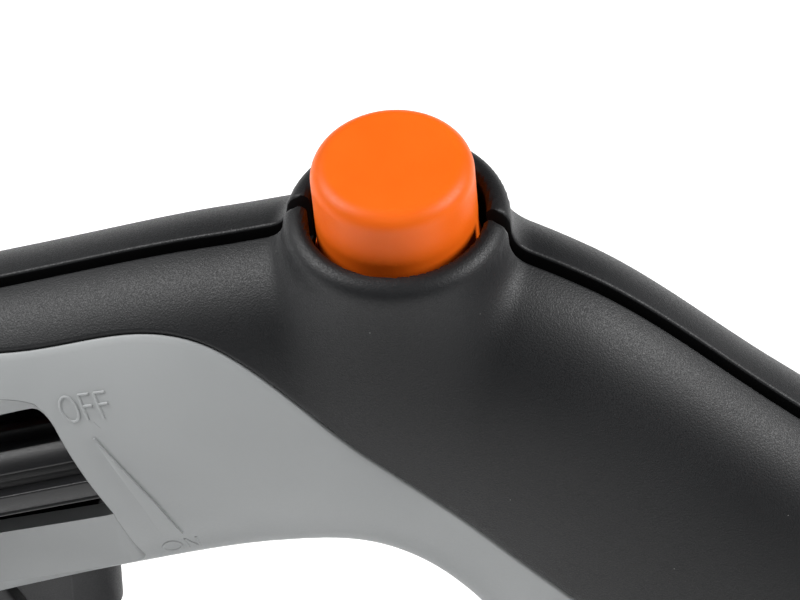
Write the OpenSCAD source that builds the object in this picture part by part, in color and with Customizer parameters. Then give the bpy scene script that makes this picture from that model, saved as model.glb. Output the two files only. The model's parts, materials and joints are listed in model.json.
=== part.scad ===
// Cordless hedge trimmer: a closed-loop handle shell in two halves with a thumb lock button,
// a finger roller and a trigger, a slide-off battery, an upright motor, a crank drive and
// two reciprocating blades. Millimetres, +X towards the blade tip, +Y left, +Z up, z = 0 is
// the plane it rests on.

/* [Show] */
// sub-part to draw, or all of them

/* [Handle] */
// height of the lock button's top above the resting plane
button_top = 203; // [190:1:215]
// distance of the lock button behind the middle of the tool
button_back = 305; // [295:1:315]
// thickness of the handle grip across
grip_width = 35; // [30:0.5:40]
// depth of the handle grip, top to underside
grip_depth = 49; // [42:0.5:54]
// slope of the grip, rising forward
grip_slope = 26; // [22:1:30]
// width of the motor housing across
body_width = 74; // [66:1:80]
// wall thickness of the shells
wall = 3.6; // [3:0.1:4.5]
// width of the groove between the two shells
seam = 1.8; // [1:0.1:2.4]
// thickness of the grey grip panels
panel_t = 2.2; // [1.8:0.1:2.6]

/* [Controls] */
// diameter of the lock button
button_d = 20; // [17:0.5:23]
// how far the lock button goes down
button_travel = 5; // [3:0.5:6]
// diameter of the finger roller over its ribs
roller_d = 12; // [9:0.5:13]
// length of the finger roller
roller_len = 42; // [36:1:46]
// swing of the finger roller in degrees
roller_swing = 60; // [30:5:60]
// width of the trigger
trigger_w = 13; // [10:0.5:16]
// running gap round a moving piece
gap = 0.5; // [0.35:0.05:0.8]

/* [Drive] */
// teeth on the motor pinion
pinion_teeth = 9; // [8:1:12]
// teeth on the big gear
gear_teeth = 45; // [36:1:50]
// tooth module of the gear pair
gear_module = 1; // [0.8:0.05:1.1]
// throw of the two eccentrics
throw = 5; // [4:0.25:6]
// radius of the eccentric discs
disc_r = 8; // [7:0.25:9]
// diameter of the motor can
motor_d = 42; // [36:1:46]
// length of the motor can
motor_len = 40; // [34:1:42]

/* [Blades] */
// reach of the blades in front of the gear case
blade_reach = 500; // [300:10:500]
// distance from tooth to tooth
tooth_pitch = 28; // [24:1:34]
// number of tooth pairs along a blade
tooth_rows = 16; // [9:1:16]
// half width of the blade body
blade_half = 13; // [11:0.5:15]
// length of a tooth
tooth_len = 19; // [15:1:22]
// thickness of a blade
blade_t = 2.2; // [1.8:0.1:2.6]
// height of the underside of the lower blade
blade_z = 24; // [22:0.5:26]

/* [Battery] */
// length of the battery pack
pack_len = 88; // [80:1:90]
// width of the battery pack
pack_width = 76; // [68:1:80]
// height of the battery pack to the top of its rails
pack_height = 49.6; // [47:0.1:49.8]

/* [Front handle] */
// width of the front handle between tube centres
bail_width = 164; // [150:2:180]
// height of the front handle above its bolts
bail_height = 112; // [100:1:120]
// diameter of the front handle tube
bail_d = 20; // [17:0.5:23]
// lean of the front handle towards the user in degrees
bail_lean = 12; // [0:1:20]

/* [Hidden] */
$fn = 48;
e0 = 0.01;
tip_x = 480;
rear_x = -480;
motor_x = -112;
gear_r = gear_module * gear_teeth / 2;
pinion_r = gear_module * pinion_teeth / 2;
mesh_gap = 0.12;
crank_x = motor_x + gear_r + pinion_r + mesh_gap;
gear_z = 40;
gear_t = 8;
case_x0 = -156;
case_x1 = -46;
case_half = body_width / 2 - 1;
case_top = 61;
case_z = 23.6;
upper_z = blade_z + blade_t + 0.4;
guide_z = upper_z + blade_t + 0.4;
guide_t = 3;
btn = [-button_back, 0, button_top];
lean = 4.1;
hole_r = button_d / 2 + 1;
rim_drop = 8.2;
gw = grip_width / 2;
bw = body_width / 2;
// centre of the straight part of the grip, and its own axes
grip_o = [btn[0] - 38.9, 0, btn[2] - 52.7];
roller_y = -(gw - 7);
roller_n = 1.6;
trig = [-12.2, -16.2];
pin_r = 1.5;
pin_half = gw - 8.8;
bay_z = pack_height;
foot_z = 50.2;
bail_x = -104;
bail_z = 92;
dd = grip_depth - 49;
bolt_x = [for (i = [0:3]) 40 + i * (blade_reach - 164) / 3];

// ring stations: outer x, z, inner x, z, half width, roundness
bx = btn[0];
bz = btn[2];
ST = [
    [bx - 135, bz - 72, bx - 81, bz - 102, gw + 4.5, 2.5],
    [bx - 107, bz - 60, bx - 72, bz - 98 - dd, gw + 1.1, 2.3],
    [bx - 77, bz - 44, bx - 52, bz - 87 - dd, gw, 2.2],
    [bx - 47.7, bz - 29.8, bx - 30, bz - 75.5 - dd, gw, 2.1],
    [bx - 23, bz - 18.4, bx - 12, bz - 67.5 - dd, gw, 2.1],
    [bx, bz - 11, bx + 1, bz - 66 - dd, gw, 2.1],
    [bx + 25, bz - 17.5, bx + 11, bz - 73.5 - dd, gw, 2.1],
    [bx + 50, bz - 35.4, bx + 21, bz - 90, gw + 0.5, 2.2],
    [bx + 75, bz - 53.7, bx + 33, bz - 109, gw + 2.5, 2.4],
    [bx + 100, bz - 66.8, bx + 45, bz - 125.5, gw + 6.5, 2.6],
    [-170, 129, -252, 70, bw - 7, 2.8],
    [-125, 124, -249, 64, bw - 1, 3],
    [-84, 110, -248, 60, bw, 3],
    [-64, 84, -248, 58, bw - 1, 3],
    [-70, 62, -249, 56, bw - 3, 3],
    [-110, 58, -252, 54, bw - 7, 2.8],
    [-150, 50, -258, 52, bw - 12, 2.6],
    [-185, 35, -268, 51.5, bw - 17, 2.4],
    [-230, 29, -283, 52, 16.5, 2.3],
    [-290, 28, -310, 54, 15, 2.2],
    [-340, 34, -345, 61, 16, 2.3],
    [-370, 45, -368, 71, 20, 2.5],
    [-392, 53.5, -382, 79, 27, 2.8],
    [-436, 54, -389, 84, 35, 3],
    [-474, 57, -393, 88, 36, 3],
    [-478, 84, -394, 92, 32, 3],
    [-465, 112, -392, 97, 27, 2.8],
];
// share of each section, from its outer end, that stays black above the grey panel
EDGE = [0.5, 0.16, 0.045, 0.07, 0.12, 0.45, 0.58, 0.555, 0.625, 0.8, 0.93];
panel_from = 1;
panel_to = 9;
panel_gap = 0.3;
bed_sides = 5;
ring_steps = 2;

// ---------- shapes used by several sub-parts ----------

function wrap(i) = (i + len(ST)) % len(ST);
function blend4(a, b, c, d, f) =
    0.5 * (2 * b + (c - a) * f + (2 * a - 5 * b + 4 * c - d) * f * f
        + (3 * b - a - 3 * c + d) * f * f * f);
function station(t) = let(i = floor(t), f = t - i)
    blend4(ST[wrap(i - 1)], ST[wrap(i)], ST[wrap(i + 1)], ST[wrap(i + 2)], f);
function spow(v, e) = sign(v) * pow(abs(v), e);
function ring_point(s, a, off) = let(
    c = [(s[0] + s[2]) / 2, (s[1] + s[3]) / 2],
    h = [(s[0] - s[2]) / 2, (s[1] - s[3]) / 2],
    k = (norm(h) - off) / norm(h), e = 2 / s[5],
    u = spow(sin(a), e) * k, v = spow(cos(a), e) * (s[4] - off))
    [c[0] + h[0] * u, v, c[1] + h[1] * u];

function edge_share(t) = let(i = floor(t), f = t - i, n = len(EDGE) - 1)
    t > n - 1 ? 0.6 : max(0.03, blend4(EDGE[max(0, i - 1)], EDGE[i], EDGE[i + 1],
        EDGE[min(n, i + 2)], f));
function edge_angle(s, t) = asin(spow(1 - 2 * edge_share(t), s[5] / 2));
function off_plane(p, side, y) = [p[0], side * max(y, p[1]), p[2]];

// one half of the wall: outer arc, step down into the panel bed, inner arc back
function half_section(t, side) = let(s = station(t), b = edge_angle(s, t),
    bed = t >= panel_from && t <= panel_to ? panel_t + panel_gap : 0.06)
    concat(
        [for (j = [0:4]) off_plane(ring_point(s, 90 + (b - 90) * j / 4, 0), side, seam / 2)],
        [for (j = [0:bed_sides]) off_plane(ring_point(s, b - (90 + b) * j / bed_sides, bed), side,
            seam / 2)],
        [for (j = [0:7]) off_plane(ring_point(s, -90 + 180 * j / 7, wall), side, seam / 2)]);

function panel_section(t, side) = let(s = station(t), b = edge_angle(s, t) - 0.6)
    concat(
        [for (j = [bed_sides:-1:0]) off_plane(ring_point(s, b - (90 + b) * j / bed_sides, 0.03),
            side, 0.15)],
        [for (j = [0:bed_sides]) off_plane(ring_point(s, b - (90 + b) * j / bed_sides, panel_t),
            side, 0.15)]);

// skin through a list of sections, closed on itself or capped at its ends
module sweep(sections, closed, side) {
    n = len(sections);
    m = len(sections[0]);
    last = closed ? n - 1 : n - 2;
    quads = [for (i = [0:last]) for (j = [0:m - 1]) let(
        a = i * m + j, b = i * m + (j + 1) % m,
        c = ((i + 1) % n) * m + (j + 1) % m, d = ((i + 1) % n) * m + j)
        each [[a, b, c], [a, c, d]]];
    caps = closed ? [] : [[for (j = [m - 1:-1:0]) j], [for (j = [0:m - 1]) (n - 1) * m + j]];
    all = concat(quads, caps);
    polyhedron([for (q = sections) each q],
        side > 0 ? all : [for (f = all) [for (k = [len(f) - 1:-1:0]) f[k]]], convexity = 8);
}

// solid of the whole handle ring, `off` mm inside the outer surface
module ring(off) sweep([for (i = [0:len(ST) * ring_steps - 1]) let(s = station(i / ring_steps))
    [for (j = [0:15]) ring_point(s, 360 * (j + 0.5) / 16 - 90, off)]], true, -1);

module half_ring(side) sweep([for (i = [0:len(ST) * ring_steps - 1])
    half_section(i / ring_steps, side)], true, side);

module panel_skin(side) sweep([for (i = [0:(panel_to - panel_from) * ring_steps])
    panel_section(panel_from + i / ring_steps, side)], false, -side);

// tongue loop that closes the seam from inside, along the outer or the inner rim
module tongue(angle, off) sweep([for (i = [0:len(ST) * ring_steps - 1]) let(
    s = station(i / ring_steps), p = ring_point(s, angle, off), q = ring_point(s, angle, off + 1.4))
    [[p[0], -seam / 2 + 0.05, p[2]], [p[0], seam / 2 + 0.7, p[2]],
        [q[0], seam / 2 + 0.7, q[2]], [q[0], -seam / 2 + 0.05, q[2]]]],
    true, angle > 0 ? 1 : -1);

// everything on one side of the middle plane, `inset` mm away from it
module side_block(side, inset) {
    y0 = side < 0 ? -150 : inset;
    translate([-520, y0, -20]) cube([1040, 150 - inset, 260]);
}

// places children in the lock button's own frame, its top at the origin
module at_button() translate(btn) rotate([0, -lean, 0]) children();

// places children in the grip's own frame: x along the grip, z up out of its ridge
module at_grip() translate(grip_o) rotate([0, -grip_slope, 0]) children();

// box given by its two corners
module span(a, b) translate(a) cube(b - a);

// slab with rounded upright corners
module slab(x0, x1, half, z0, z1, r) {
    translate([x0 + r, -half, z0]) cube([x1 - x0 - 2 * r, 2 * half, z1 - z0]);
    translate([x0, -half + r, z0]) cube([x1 - x0, 2 * half - 2 * r, z1 - z0]);
    for (x = [x0 + r, x1 - r], y = [-half + r, half - r])
        translate([x, y, z0]) cylinder(r = r, h = z1 - z0);
}

// coil spring along z
module coil(r, wire, length, turns) {
    steps = 12;
    n = turns * steps;
    m = 6;
    points = [for (i = [0:n]) for (j = [0:m - 1]) let(
        a = 360 * i / steps, b = 360 * j / m,
        z = wire + (length - 2 * wire) * i / n)
        [(r + wire * cos(b)) * cos(a), (r + wire * cos(b)) * sin(a), z + wire * sin(b)]];
    faces = concat(
        [[for (j = [0:m - 1]) j]],
        [for (i = [0:n - 1]) for (j = [0:m - 1]) let(
            a = i * m + j, b = i * m + (j + 1) % m, c = (i + 1) * m + (j + 1) % m,
            d = (i + 1) * m + j) each [[a, d, c], [a, c, b]]],
        [[for (j = [m - 1:-1:0]) n * m + j]]);
    polyhedron(points, faces, convexity = 10);
}

// spur gear outline as a polygon, centred, with `play` taken off the flanks
function gear_outline(teeth, mod, play) = let(r = teeth * mod / 2, p = 360 / teeth) [
    for (i = [0:teeth - 1]) let(a = i * p, w = p / 4 - play / r * 57.3)
        each [
            [(r - 1.2 * mod) * cos(a - p / 2 + 0.15 * p), (r - 1.2 * mod) * sin(a - p / 2 + 0.15 * p)],
            [(r - 0.9 * mod) * cos(a - 1.35 * w), (r - 0.9 * mod) * sin(a - 1.35 * w)],
            [r * cos(a - w), r * sin(a - w)],
            [(r + 0.9 * mod) * cos(a - 0.45 * w), (r + 0.9 * mod) * sin(a - 0.45 * w)],
            [(r + 0.9 * mod) * cos(a + 0.45 * w), (r + 0.9 * mod) * sin(a + 0.45 * w)],
            [r * cos(a + w), r * sin(a + w)],
            [(r - 0.9 * mod) * cos(a + 1.35 * w), (r - 0.9 * mod) * sin(a + 1.35 * w)],
        ]
];

// ---------- side outlines, in x and z ----------

// the window round the roller, seen from the side, grown by g
module window_area(g) offset(delta = g) polygon([
    [bx - 41, bz - 37.8], [bx - 43, bz - 37.4], [bx - 49, bz - 39], [bx - 58, bz - 43],
    [bx - 78, bz - 53], [bx - 81, bz - 58], [bx - 76, bz - 80], [bx - 70, bz - 81.5],
    [bx - 50, bz - 74.8], [bx - 33, bz - 69.8], [bx - 30, bz - 65.5], [bx - 33.1, bz - 53],
]);

// the opening the roller looks out of, seen from the side
module roller_area(g) offset(delta = g) polygon([
    [bx - 41.5, bz - 39], [bx - 43.5, bz - 38.6], [bx - 49, bz - 40.2], [bx - 58, bz - 44.2],
    [bx - 77, bz - 53.6], [bx - 79.6, bz - 58.6], [bx - 77.6, bz - 71.5],
    [bx - 50, bz - 60.6], [bx - 34, bz - 54.2],
]);

// stands a side outline up as a block right across, y0 to y1
module stand_up(y0, y1) translate([0, y1, 0]) rotate([90, 0, 0])
    linear_extrude(height = y1 - y0, convexity = 6) children();

// raised collar round the lock button, running down inside as its sleeve
module collar() at_button() difference() {
    union() {
        translate([0, 0, -24]) cylinder(r = hole_r + 1.6, h = 10);
        translate([0, 0, -19]) cylinder(r = hole_r + 3, h = 19 - rim_drop - 0.8);
        translate([0, 0, -rim_drop - 0.81]) cylinder(r1 = hole_r + 3, r2 = hole_r + 2.2, h = 0.81);
    }
    translate([0, 0, -26]) cylinder(r = hole_r, h = 30);
}

// screw posts: x, z and how far out the wall is there
POSTS = [[-454, 98, 26], [-436, 72, 33.5], [-202, 92, bw - 4.4], [-176, 108, bw - 5.5],
    [-76, 88, bw - 15], [-212, 42, bw - 18.5], [-320, 44, 13], [-420, 119, 20]];

// tapered post that ties a wall of the shell to the middle plane
module post(p, side) hull() {
    translate([p[0], side * seam / 2, p[1]]) rotate([side < 0 ? 90 : -90, 0, 0])
        cylinder(r = 5, h = 1, $fn = 6);
    translate([p[0], side * (p[2] - 1), p[1]]) rotate([side < 0 ? 90 : -90, 0, 0])
        cylinder(r = 6.2, h = 1, $fn = 6);
}

// room for the trigger lever, cut through the underside of the grip
module trigger_slot() at_grip() span([-58, -trigger_w / 2 - gap, -44],
    [-4.5, trigger_w / 2 + gap, -12]);

// space the roller turns in
module roller_room() at_grip() translate([-37, roller_y, roller_n]) rotate([0, 90, 0])
    cylinder(r = roller_d / 2 + gap, h = roller_len + 2, $fn = 24);

// space kept clear inside the shells for the trigger, the foot, the gear case and the motor
module cleared() {
    // trigger slot
    trigger_slot();
    at_grip() span([-15, -8.7, -21.5], [-4.5, 8.7, -12]);
    // battery foot and pack
    span([rear_x - 10, -60, -5], [-386, 60, foot_z + 0.4]);
    span([-474.4, -31.4, 40], [-395.6, 31.4, foot_z + 8.4]);
    // gear case
    slab(case_x0 - 0.4, case_x1 + 30, case_half + 0.4, -5, case_top + 0.4, 6);
    translate([motor_x, 0, 40]) cylinder(r = 13.5, h = 40);
    // lock button bore
    at_button() translate([0, 0, -26]) cylinder(r = hole_r, h = 40);
    // pocket for the roller, its sensor and its shaft ends
    roller_room();
    at_grip() translate([-44, roller_y, roller_n]) rotate([0, 90, 0])
        cylinder(r = 3.8, h = 64, $fn = 16);
    // bolts of the front handle
    at_bail() rotate([90, 0, 0]) translate([0, 0, -60]) cylinder(r = 3.1, h = 120, $fn = 16);
    // cooling slots
    for (i = [0:5]) span([-140 + i * 10, -60, 103], [-136 + i * 10, 60, 113]);
    for (i = [0:3]) span([-92 + i * 8, -60, 66], [-88.5 + i * 8, 60, 77]);
}

// block that carries one end of the trigger's pin
module pin_block(side) intersection() {
    at_grip() span([trig[0] - 4, side < 0 ? -11.3 : trigger_w / 2 + 0.6, trig[1] - 2.2],
        [trig[0] + 4, side < 0 ? -trigger_w / 2 - 0.6 : 11.3, trig[1] + 3.8]);
    ring(panel_t + panel_gap + 0.1);
}

module shell(side) difference() {
    union() {
        pin_block(side);
        difference() {
            union() {
                half_ring(side);
                intersection() {
                    collar();
                    side_block(side, seam / 2);
                }
                for (p = POSTS) post(p, side);
                if (side > 0) {
                    tongue(90, 2);
                    tongue(-90, panel_t + panel_gap + 0.3);
                }
            }
            if (side < 0) stand_up(-40, -2) window_area(1.7);
            for (p = POSTS) translate([p[0], 0, p[1]]) rotate([90, 0, 0]) {
                translate([0, 0, -60]) cylinder(r = 1.95, h = 71, $fn = 8);
                translate([0, 0, -60]) cylinder(r = 4, h = 60 - head_y(p), $fn = 10);
            }
            cleared();
        }
    }
    at_grip() translate([trig[0], 0, trig[1]]) rotate([90, 0, 0])
        translate([0, 0, -pin_half - 0.2]) cylinder(r = pin_r + 0.04, h = 2 * pin_half + 0.4,
            $fn = 24);
}
// depth from the middle plane of a screw head's seat
function head_y(p) = p[2] - 6;

module housing_right() color([0.09, 0.09, 0.1]) shell(-1);
module housing_left() color([0.09, 0.09, 0.1]) shell(1);

module grip_panel_right() color([0.66, 0.68, 0.69]) difference() {
    union() {
        difference() {
            panel_skin(-1);
            stand_up(-40, 0) window_area(0);
        }
        // rim and sill of the window, set behind the skin
        intersection() {
            union() {
                stand_up(-19, -11.6) difference() {
                    window_area(1.2);
                    window_area(-0.1);
                }
                stand_up(-13.4, -11.6) window_area(0.2);
            }
            ring(0.4);
        }
    }
    stand_up(-40, 0) roller_area(0);
    roller_room();
    trigger_slot();
}

module grip_panel_left() color([0.66, 0.68, 0.69]) difference() {
    panel_skin(1);
    trigger_slot();
}

// ---------- controls in the grip ----------

module lock_button() color([0.96, 0.45, 0.13]) at_button() rotate_extrude()
    union() {
        translate([0, -19]) square([button_d / 2, 16.7]);
        translate([0, -3]) square([button_d / 2 - 2.3, 3]);
        translate([button_d / 2 - 2.3, -2.3]) circle(r = 2.3);
        translate([0, -33]) square([3, 15]);
    }

module lock_spring() color([0.7, 0.7, 0.72]) translate([btn[0] + 1.8, 0, btn[2] - 39.3])
    coil(5, 0.55, 18.8, 5);

module lock_switch() color([0.15, 0.15, 0.2]) translate([btn[0] + 2.5, 0, btn[2] - 44.5])
    union() {
        translate([-9, -5, -6]) cube([18, 10, 11]);
        translate([-8, -8, 3]) cube([16, 16, 2]);
    }

module speed_roller() color([0.08, 0.08, 0.09])
    at_grip() translate([-36, roller_y, roller_n]) rotate([0, 90, 0]) difference() {
        union() {
            cylinder(r = roller_d / 2 - 1.6, h = roller_len);
            for (a = [0:5]) rotate([0, 0, a * 60 + 22]) intersection() {
                translate([0, -1.7, 0]) cube([roller_d / 2 + 1, 3.4, roller_len]);
                cylinder(r = roller_d / 2, h = roller_len);
            }
        }
        translate([0, 0, -1]) cylinder(r = 1.6, h = roller_len + 2);
    }

module roller_shaft() color([0.75, 0.76, 0.78])
    at_grip() translate([-42, roller_y, roller_n]) rotate([0, 90, 0])
        cylinder(r = 1.57, h = roller_len + 12);

module roller_sensor() color([0.1, 0.25, 0.18])
    at_grip() translate([8.5, roller_y, roller_n]) rotate([0, 90, 0]) difference() {
        cylinder(r = 3.4, h = 7);
        translate([0, 0, -1]) cylinder(r = 1.62, h = 9);
    }

// trigger lever: its outline in the grip's own x and z
module trigger() color([0.2, 0.2, 0.21])
    at_grip() rotate([90, 0, 0]) translate([0, 0, -trigger_w / 2])
        difference() {
            linear_extrude(height = trigger_w) polygon([
                [-56, -20], [-56, -28], [-53, -34], [-48, -37], [-42, -37.5], [-34, -35.5],
                [-26, -34.5], [-18, -37], [-13.5, -38.5], [-10.5, -36], [-9.2, -30],
                [-8.2, -24], [-7.6, -15], [-16, -13.5], [-24, -18], [-44, -19],
            ]);
            translate([trig[0], trig[1], -1]) cylinder(r = pin_r + 0.05, h = trigger_w + 2);
            translate([-22, -45, -1]) cube([1.5, 18, trigger_w + 2]);
        }

module trigger_pin() color([0.75, 0.76, 0.78])
    at_grip() translate([trig[0], 0, trig[1]]) rotate([90, 0, 0])
        translate([0, 0, -pin_half]) cylinder(r = pin_r, h = 2 * pin_half);

module trigger_spring() color([0.7, 0.7, 0.72])
    translate([bx - 71.7, 0, bz - 87.8]) coil(3.2, 0.45, 10.8, 5);

module main_switch() color([0.12, 0.12, 0.14])
    at_grip() difference() {
        union() {
            span([-37, -3.6, -12], [-9, 9.6, 9]);
            span([-53, -3.6, -3], [-36, 6, 0]);
        }
        translate([-23, 3, 7]) cylinder(r = 1.5, h = 3);
    }

module control_board() color([0.05, 0.3, 0.14]) union() {
    span([-206, -16, 72], [-162, 16, 73.6]);
    for (i = [0:2]) span([-202 + i * 13, -12, 73.5], [-193 + i * 13, -4, 84]);
    for (i = [0:1]) translate([-196 + i * 20, 8, 73.5]) cylinder(r = 5, h = 9);
}

module cable_harness() color([0.75, 0.1, 0.08]) {
    path = [[bx - 130, bz - 118], [bx - 122, bz - 106], [bx - 104, bz - 84], [bx - 84, bz - 61],
        [bx - 62, bz - 47.5], [bx - 36, bz - 36], [bx - 14, bz - 50], [bx - 7, bz - 55.5],
        [bx + 6, bz - 57], [bx + 30, bz - 66], [bx + 56, bz - 80], [bx + 84, bz - 92], [bx + 110, bz - 103],
        [bx + 142, bz - 107], [bx + 160, bz - 111]];
    for (i = [0:len(path) - 2]) hull() {
        translate([path[i][0], 5, path[i][1]]) sphere(r = 2.1, $fn = 8);
        translate([path[i + 1][0], 5, path[i + 1][1]]) sphere(r = 2.1, $fn = 8);
    }
}

module housing_screws() color([0.6, 0.61, 0.63])
    for (p = POSTS) translate([p[0], 0, p[1]]) rotate([90, 0, 0]) difference() {
        union() {
            translate([0, 0, -head_y(p) - 0.1]) cylinder(r = 1.75, h = head_y(p) + 10);
            translate([0, 0, -head_y(p) - 3.1]) cylinder(r = 3.5, h = 3.05);
        }
        translate([0, 0, -head_y(p) - 4]) cylinder(r = 1.5, h = 2.2, $fn = 6);
    }

// ---------- battery end ----------

module battery_foot() color([0.16, 0.16, 0.17]) difference() {
    union() {
        slab(-474, -396, 31, foot_z, foot_z + 8, 4);
        span([-468, -20, 46], [-404, 20, foot_z + e0]);
        span([-468, -25, 42.4], [-404, 25, 46.2]);
    }
    span([-412, -16, 41], [-398, 16, 44.5]);
    span([-474.6, -9, 49], [-469, 9, 54]);
    for (y = [-24, 24], x = [-462, -408])
        translate([x, y, 49]) cylinder(r = 1.8, h = 12);
}

module foot_contacts() color([0.8, 0.6, 0.25])
    for (y = [-12, -4, 4, 12]) span([-411.9, y - 0.5, 36.5], [-404, y + 0.5, 44.5]);

module battery_case() color([0.13, 0.13, 0.14]) difference() {
    union() {
        slab(rear_x, rear_x + pack_len, pack_width / 2, 0, pack_height - 8, 7);
        slab(rear_x, rear_x + pack_len, pack_width / 2 - 5, pack_height - 9, pack_height, 7);
    }
    // hollow for the cells
    span([rear_x + 10, -pack_width / 2 + 3, 2.6], [rear_x + pack_len - 4, pack_width / 2 - 3, 37.2]);
    // rail grooves, open to the front
    span([-469.5, -25.4, 41.6], [-380, 25.4, 46.8]);
    span([-469.5, -20.4, 46], [-380, 20.4, 52]);
    // slot for the contact blades
    span([-413, -15, 35], [-380, 15, 42]);
    // latch pocket at the rear
    span([rear_x - 1, -12.4, 29], [-470.6, 12.4, 52]);
    // side grips
    for (s = [-1, 1], i = [0:4]) translate([-462 + i * 7, s * (pack_width / 2 + 0.6), 14])
        cylinder(r = 1.6, h = 18);
}

module battery_cells() color([0.12, 0.35, 0.55]) {
    for (i = [0:2]) translate([-458.5 + i * 20, 32.5, 12]) rotate([90, 0, 0])
        cylinder(r = 9.15, h = 65);
    for (i = [0:1]) translate([-448.5 + i * 20, 32.5, 27.5]) rotate([90, 0, 0])
        cylinder(r = 9.15, h = 65);
}

module battery_contacts() color([0.8, 0.6, 0.25])
    for (y = [-12, -4, 4, 12], s = [-1, 1])
        span([-412.5, y + s * 1.4 - 0.4, 36.2], [-401, y + s * 1.4 + 0.4, 40.9]);

module battery_latch() color([0.96, 0.45, 0.13]) difference() {
    union() {
        span([-479.6, -11.8, 35], [-471.2, 11.8, 49.2]);
        span([-476.4, -7, 49.1], [-472, 7, 49.9]);
    }
    for (i = [0:2]) span([-480.6, -9, 38 + i * 3], [-479, 9, 39.4 + i * 3]);
    translate([-475.4, 0, 34]) cylinder(r = 3.4, h = 6);
}

module latch_spring() color([0.7, 0.7, 0.72]) translate([-475.4, 0, 29.05])
    coil(2.5, 0.4, 10.9, 5);

// ---------- motor and drive ----------

module motor_can() color([0.55, 0.56, 0.58]) translate([motor_x, 0, 66]) difference() {
    union() {
        cylinder(r = motor_d / 2, h = motor_len);
        translate([0, 0, -4]) cylinder(r = 9, h = 4.1);
    }
    translate([0, 0, 2]) cylinder(r = motor_d / 2 - 2, h = motor_len - 4);
    translate([0, 0, -5]) cylinder(r = 3.6, h = motor_len + 8);
    for (a = [0:3]) rotate([0, 0, a * 90 + 45]) translate([motor_d / 2 - 10, 0, motor_len - 3])
        cylinder(r = 2.5, h = 5);
}

module motor_rotor() color([0.72, 0.4, 0.2]) translate([motor_x, 0, 0]) {
    translate([0, 0, 38]) cylinder(r = 2, h = 76);
    translate([0, 0, 71]) difference() {
        cylinder(r = motor_d / 2 - 4, h = motor_len - 12);
        for (a = [0:8]) rotate([0, 0, a * 40]) translate([motor_d / 2 - 6, -1.2, -1])
            cube([4, 2.4, motor_len]);
    }
}

module motor_fan() color([0.2, 0.2, 0.22]) translate([motor_x, 0, 107]) difference() {
    union() {
        cylinder(r = 5, h = 6);
        cylinder(r = 16, h = 1.2);
        for (a = [0:8]) rotate([0, 0, a * 40]) translate([3, -0.6, 0.6]) cube([13, 1.2, 4.8]);
    }
    translate([0, 0, -1]) cylinder(r = 2.03, h = 8);
}

module pinion() color([0.7, 0.7, 0.72]) translate([motor_x, 0, gear_z - 0.5]) difference() {
    linear_extrude(height = gear_t + 1) polygon(gear_outline(pinion_teeth, gear_module, 0.12));
    translate([0, 0, -1]) cylinder(r = 2.02, h = gear_t + 4);
}

// the gear is turned so that a gap faces the pinion
module big_gear() color([0.72, 0.73, 0.75]) translate([crank_x, 0, gear_z]) difference() {
    union() {
        rotate([0, 0, 180 + 180 / gear_teeth]) linear_extrude(height = gear_t)
            polygon(gear_outline(gear_teeth, gear_module, 0.12));
        translate([0, 0, -2]) cylinder(r = 9, h = gear_t + 3);
    }
    translate([0, 0, -3]) cylinder(r = 4.03, h = gear_t + 6);
    for (a = [0:4]) rotate([0, 0, a * 72]) translate([14.5, 0, -1]) cylinder(r = 3.2, h = gear_t + 2);
}

module crank_shaft() color([0.6, 0.61, 0.64]) translate([crank_x, 0, 0]) {
    translate([0, 0, 17.4]) cylinder(r = 4, h = 39.4);
    translate([0, -throw, blade_z]) cylinder(r = disc_r, h = blade_t);
    translate([0, 0, blade_z + blade_t - e0]) cylinder(r = 4, h = 0.4 + 2 * e0);
    translate([0, throw, upper_z]) cylinder(r = disc_r, h = blade_t);
}

module crank_bushes() color([0.75, 0.58, 0.3]) translate([crank_x, 0, 0])
    for (z = [17.4, 50.6]) translate([0, 0, z]) difference() {
        cylinder(r = 7, h = 5);
        translate([0, 0, -1]) cylinder(r = 4.06, h = 7);
    }

// flat toothed blade, drawn from its rear yoke to its tip
function tooth_side(s) = [for (i = [0:tooth_rows - 1]) let(
    x = case_x1 + 30 + i * (blade_reach - 44) / tooth_rows)
    each [[x, s * blade_half], [x + 4.5, s * (blade_half + tooth_len)],
        [x + 9.5, s * (blade_half + tooth_len)], [x + 15.5, s * blade_half]]];
function flip(v) = [for (i = [len(v) - 1:-1:0]) v[i]];
blade_x0 = crank_x - disc_r - 9;
blade_x1 = case_x1 + blade_reach - 6;
yoke_half = throw + disc_r + 7;
module blade_outline() polygon(concat(
    [[blade_x0, -yoke_half], [crank_x + disc_r + 9, -yoke_half],
        [crank_x + disc_r + 16, -blade_half]],
    tooth_side(-1), [[blade_x1 - 8, -blade_half], [blade_x1, -blade_half + 8]],
    [[blade_x1, blade_half - 8], [blade_x1 - 8, blade_half]], flip(tooth_side(1)),
    [[crank_x + disc_r + 16, blade_half], [crank_x + disc_r + 9, yoke_half],
        [blade_x0, yoke_half]]));

module blade(z, y) difference() {
    translate([0, 0, z]) linear_extrude(height = blade_t) blade_outline();
    // yoke slot for the eccentric, long across
    span([crank_x - disc_r - 0.26 * throw, -throw - disc_r - 0.6, z - 1],
        [crank_x + disc_r + 0.26 * throw, throw + disc_r + 0.6, z + blade_t + 1]);
    // slots for the bolts
    for (x = bolt_x) {
        span([x - throw - 1, -3.3, z - 1], [x + throw + 1, 3.3, z + blade_t + 1]);
        for (s = [-1, 1]) translate([x + s * (throw + 1), 0, z - 1])
            cylinder(r = 3.3, h = blade_t + 2);
    }
}
module blade_upper() color([0.78, 0.79, 0.8]) blade(upper_z, 0);
module blade_lower() color([0.72, 0.73, 0.75]) blade(blade_z, 0);

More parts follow.
